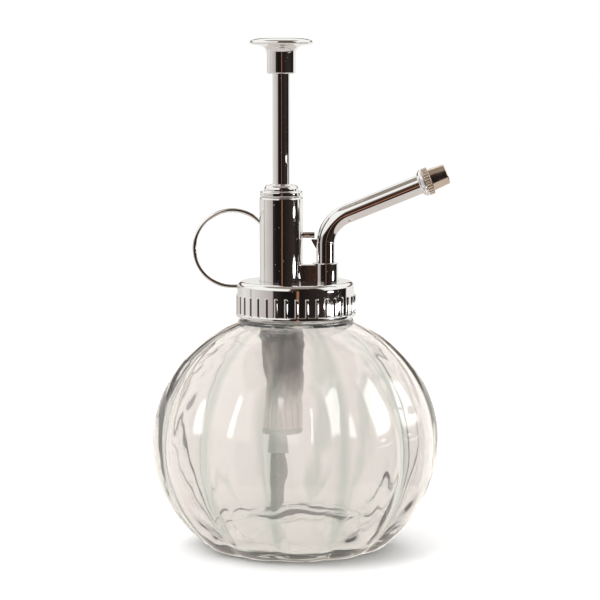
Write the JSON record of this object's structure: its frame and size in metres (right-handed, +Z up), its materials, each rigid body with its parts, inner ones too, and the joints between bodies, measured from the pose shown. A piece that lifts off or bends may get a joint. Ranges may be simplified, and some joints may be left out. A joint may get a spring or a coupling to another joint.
{
  "type": "hand mister",
  "caption": "Clear lobed glass bottle with a screw-on chrome pump head: thumb plunger, finger ring and swivelling bent spout with an adjustable spray nozzle.",
  "frame": {"origin": "centre of the bottle's base, on the plane it stands on", "axes": "+Z up along the bottle's axis, +X towards the spout, +Y to the left of someone looking along +X"},
  "size_m": [0.0929, 0.0898, 0.159],
  "materials": {
    "glass": "clear, smooth",
    "chrome": "mirror",
    "nickel": "bright, warm nickel tint",
    "spring_steel": "drawn wire",
    "ball_steel": "polished",
    "pump_plastic": "natural polymer, satin",
    "tube_plastic": "translucent, smooth",
    "gasket_rubber": "matt",
    "seal_rubber": "matt"
  },
  "bodies": {
    "bottle": {"bottle": "glass"},
    "gasket": {"neck_gasket": "gasket_rubber"},
    "head": {"screw_cap": "chrome", "pump_body": "chrome", "pump_cylinder": "pump_plastic", "gland_nut": "chrome", "rod_seal": "seal_rubber", "foot_valve": "pump_plastic", "inlet_ball_cage": "pump_plastic", "dip_tube": "tube_plastic", "finger_ring": "chrome", "return_spring": "spring_steel"},
    "plunger": {"knob": "chrome", "plunger_rod": "chrome", "piston": "pump_plastic", "piston_seal": "seal_rubber"},
    "inlet_check": {"inlet_ball": "ball_steel"},
    "outlet_check": {"outlet_ball": "ball_steel"},
    "spout": {"spout_tube": "chrome", "spout_seal_ring": "seal_rubber", "nozzle_core": "pump_plastic", "nozzle_seal_ring": "seal_rubber"},
    "nozzle": {"nozzle_cap": "nickel"}
  },
  "joints": [
    {"name": "head_lift", "type": "slide", "parent": "bottle", "child": "gasket", "axis": [0, 0, 1], "range_m": [0, 0.0047]},
    {"name": "cap_turn", "type": "hinge", "parent": "gasket", "child": "head", "pos_m": [0, 0, 0.0823], "axis": [0, 0, 1], "range_deg": [0, 400]},
    {"name": "plunger_press", "type": "slide", "parent": "head", "child": "plunger", "axis": [0, 0, -1], "range_m": [0, 0.034], "stiffness_N_per_m": 150, "springref_m": -0.02, "deforming": ["return_spring"]},
    {"name": "inlet_ball_lift", "type": "slide", "parent": "head", "child": "inlet_check", "axis": [0, 0, 1], "range_m": [0, 0.0013]},
    {"name": "outlet_ball_lift", "type": "slide", "parent": "head", "child": "outlet_check", "axis": [0, 0, 1], "range_m": [0, 0.0007]},
    {"name": "spout_swivel", "type": "hinge", "parent": "head", "child": "spout", "pos_m": [0.00925, 0, 0.0895], "axis": [0, 0, 1], "range_deg": [-90, 90]},
    {"name": "nozzle_turn", "type": "hinge", "parent": "spout", "child": "nozzle", "pos_m": [0.04348, 0, 0.11583], "axis": [0.9272, 0, 0.3746], "range_deg": [0, 360]}
  ],
  "couplings": [
    {"joint": "head_lift", "follows": "cap_turn", "m_per_rad": 0.00067323}
  ]
}
